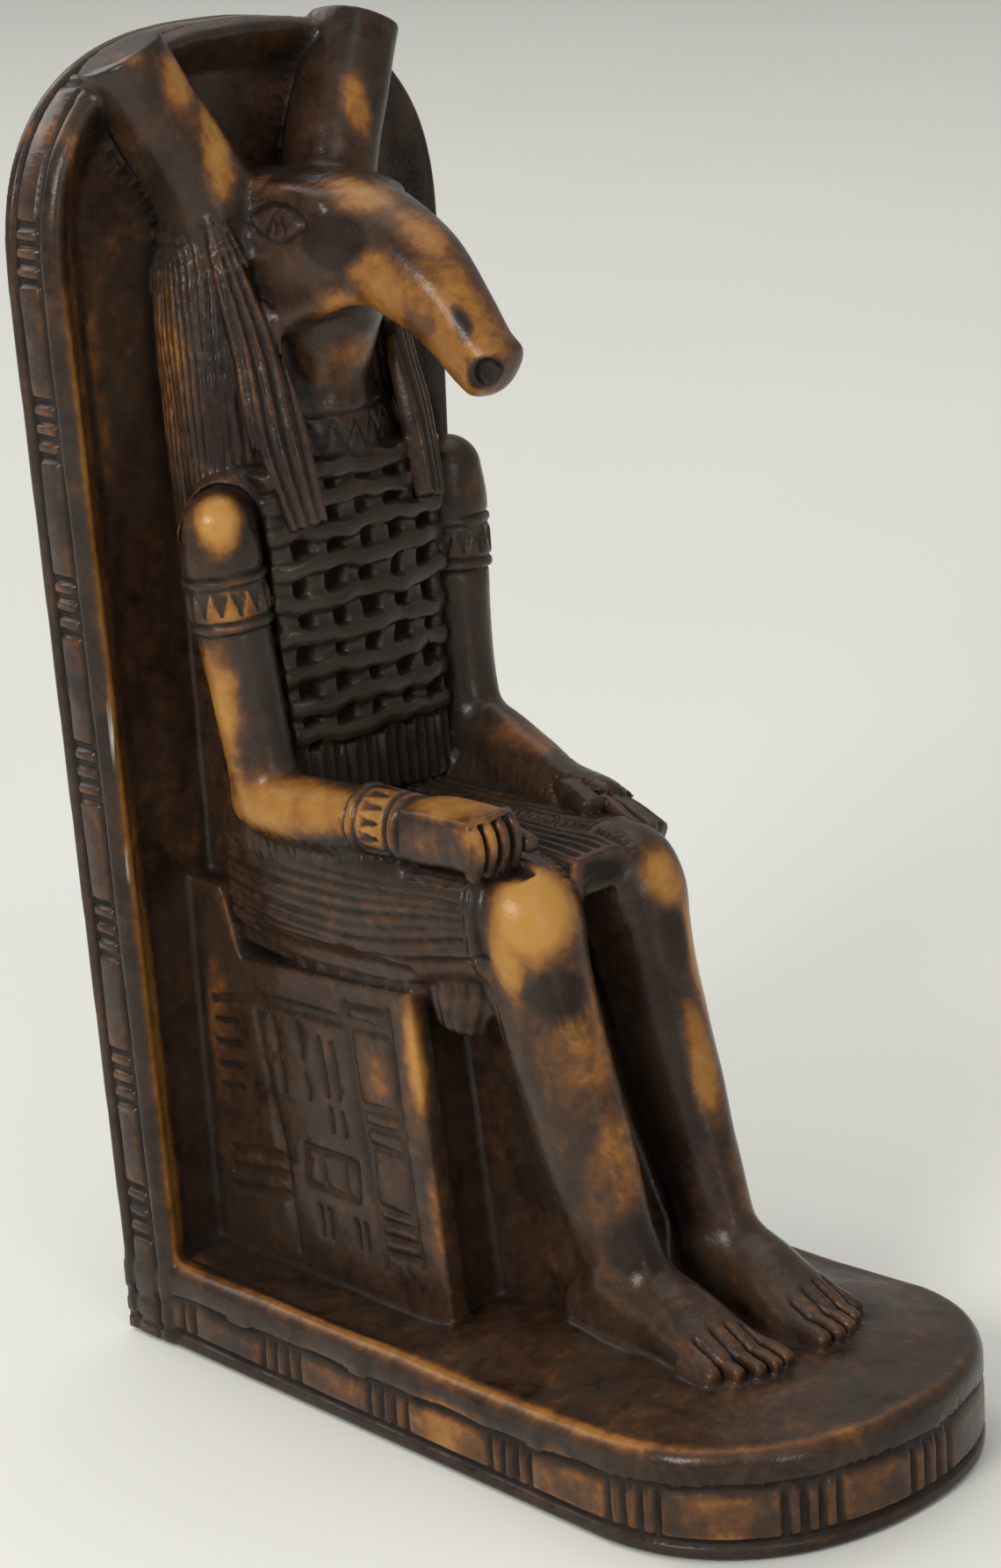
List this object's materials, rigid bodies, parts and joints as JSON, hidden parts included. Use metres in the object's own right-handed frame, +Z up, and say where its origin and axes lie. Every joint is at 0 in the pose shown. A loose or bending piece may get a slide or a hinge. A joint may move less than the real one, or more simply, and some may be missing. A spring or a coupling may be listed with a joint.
{
  "type": "seated seth figure statue",
  "caption": "Seated animal-headed Egyptian figure on a block throne, cast in one with its rounded base plate and arched back slab; long curved snout and tall flat-topped ears.",
  "frame": {"origin": "on the floor, in the middle of the base plate's outline", "axes": "+Z up along the back slab; the figure faces -Y and its right hand side is -X"},
  "size_m": [0.0926, 0.167, 0.2486],
  "materials": {
    "dark_wax_cast": "dark brown wax over a honey-coloured casting, rubbed through on edges and high spots, semi-gloss"
  },
  "bodies": {
    "root": {"seth_statue": "dark_wax_cast"}
  },
  "joints": []
}
